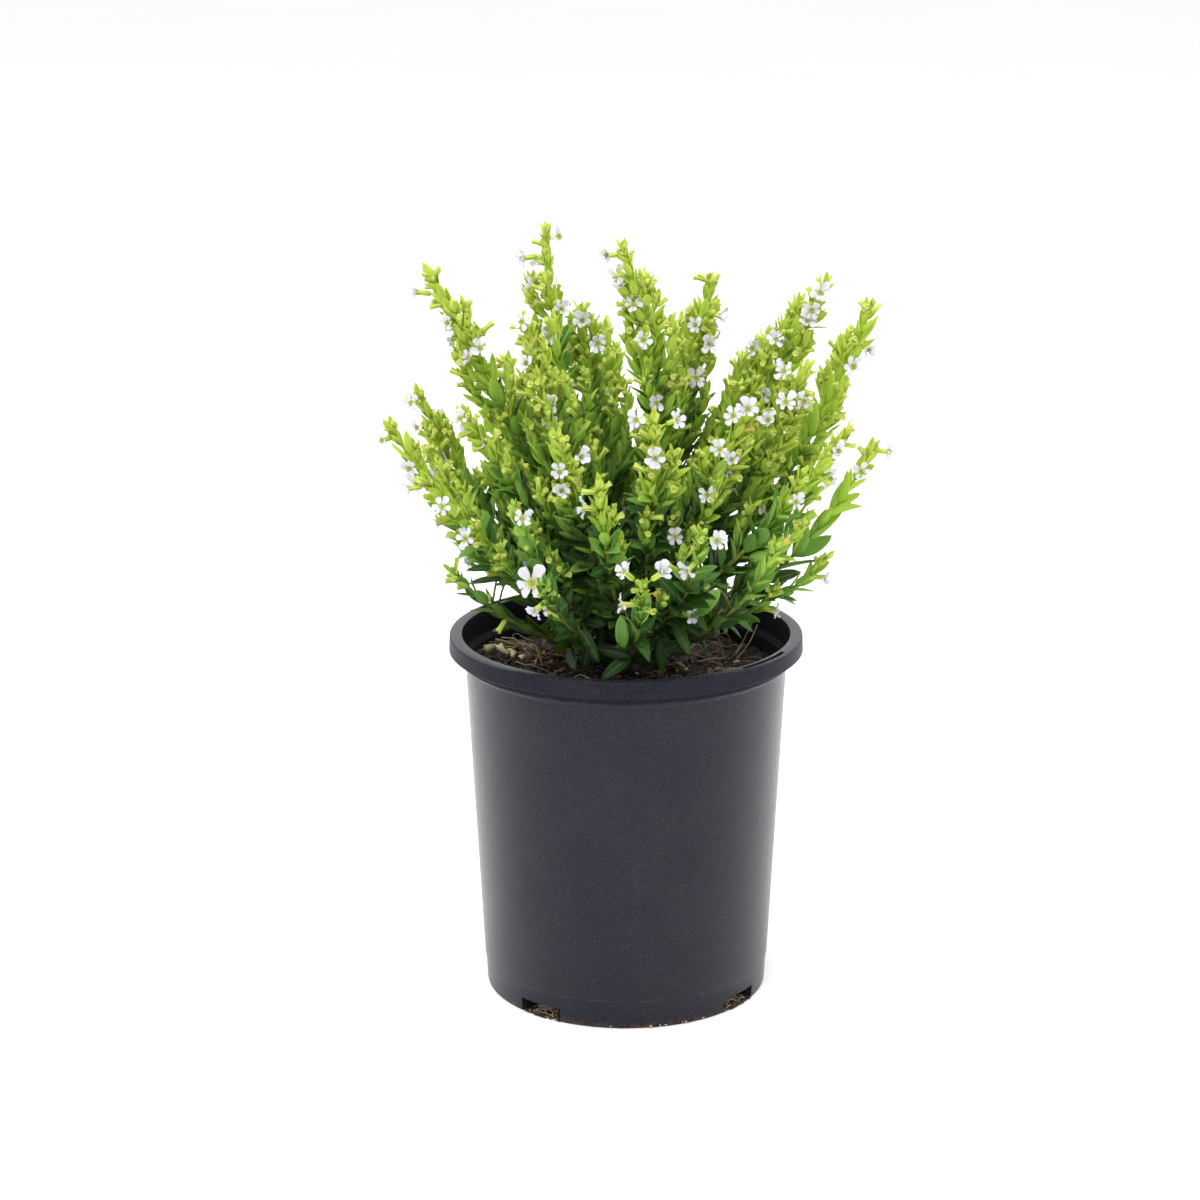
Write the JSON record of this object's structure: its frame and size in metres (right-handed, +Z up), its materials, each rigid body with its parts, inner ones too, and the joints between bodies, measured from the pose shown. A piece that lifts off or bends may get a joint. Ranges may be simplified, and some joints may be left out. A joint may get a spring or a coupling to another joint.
{
  "type": "potted cuphea",
  "caption": "Bushy white-flowered cuphea with upright leafy shoots, growing in a tapered round black nursery pot with a rolled rim and drain notches.",
  "frame": {"origin": "on the ground under the middle of the pot, which is the middle of the whole plant seen from above", "axes": "+Z up; -Y towards the front; +X to the right"},
  "size_m": [0.1948, 0.163, 0.306],
  "materials": {
    "pot_plastic": "fine matte moulded plastic, charcoal black",
    "potting_mix": "damp, crumbly, dark brown",
    "woody_stem": "rough thin bark",
    "foliage": "waxy leaf, lime green at the tips and dark green inside",
    "petals": "thin crinkled petal, matte white",
    "perlite": "pale, porous, dusty",
    "bark": "torn, fibrous, brown"
  },
  "bodies": {
    "root": {"pot": "pot_plastic", "potting_mix": "potting_mix", "crown": "woody_stem", "shoot_01": "foliage", "shoot_02": "foliage", "shoot_03": "foliage", "shoot_04": "foliage", "shoot_05": "foliage", "shoot_06": "foliage", "shoot_07": "foliage", "shoot_08": "foliage", "shoot_09": "foliage", "shoot_10": "foliage", "shoot_11": "foliage", "shoot_12": "foliage", "shoot_13": "foliage", "shoot_14": "foliage", "shoot_15": "foliage", "shoot_16": "foliage", "shoot_17": "foliage", "shoot_18": "foliage", "shoot_19": "foliage", "shoot_20": "foliage", "shoot_21": "foliage", "shoot_22": "foliage", "shoot_23": "foliage", "shoot_24": "foliage", "shoot_25": "foliage", "shoot_26": "foliage", "shoot_27": "foliage", "shoot_28": "foliage", "shoot_29": "foliage", "shoot_30": "foliage", "shoot_31": "foliage", "shoot_32": "foliage", "shoot_33": "foliage", "shoot_34": "foliage", "flower_01": "petals", "flower_02": "petals", "flower_03": "petals", "flower_04": "petals", "flower_05": "petals", "flower_06": "petals", "flower_07": "petals", "flower_08": "petals", "flower_09": "petals", "flower_10": "petals", "flower_11": "petals", "flower_12": "petals", "flower_13": "petals", "flower_14": "petals", "flower_15": "petals", "flower_16": "petals", "bark_chip_1": "bark", "bark_chip_2": "bark", "perlite_1": "perlite", "perlite_2": "perlite", "perlite_3": "perlite"}
  },
  "joints": []
}
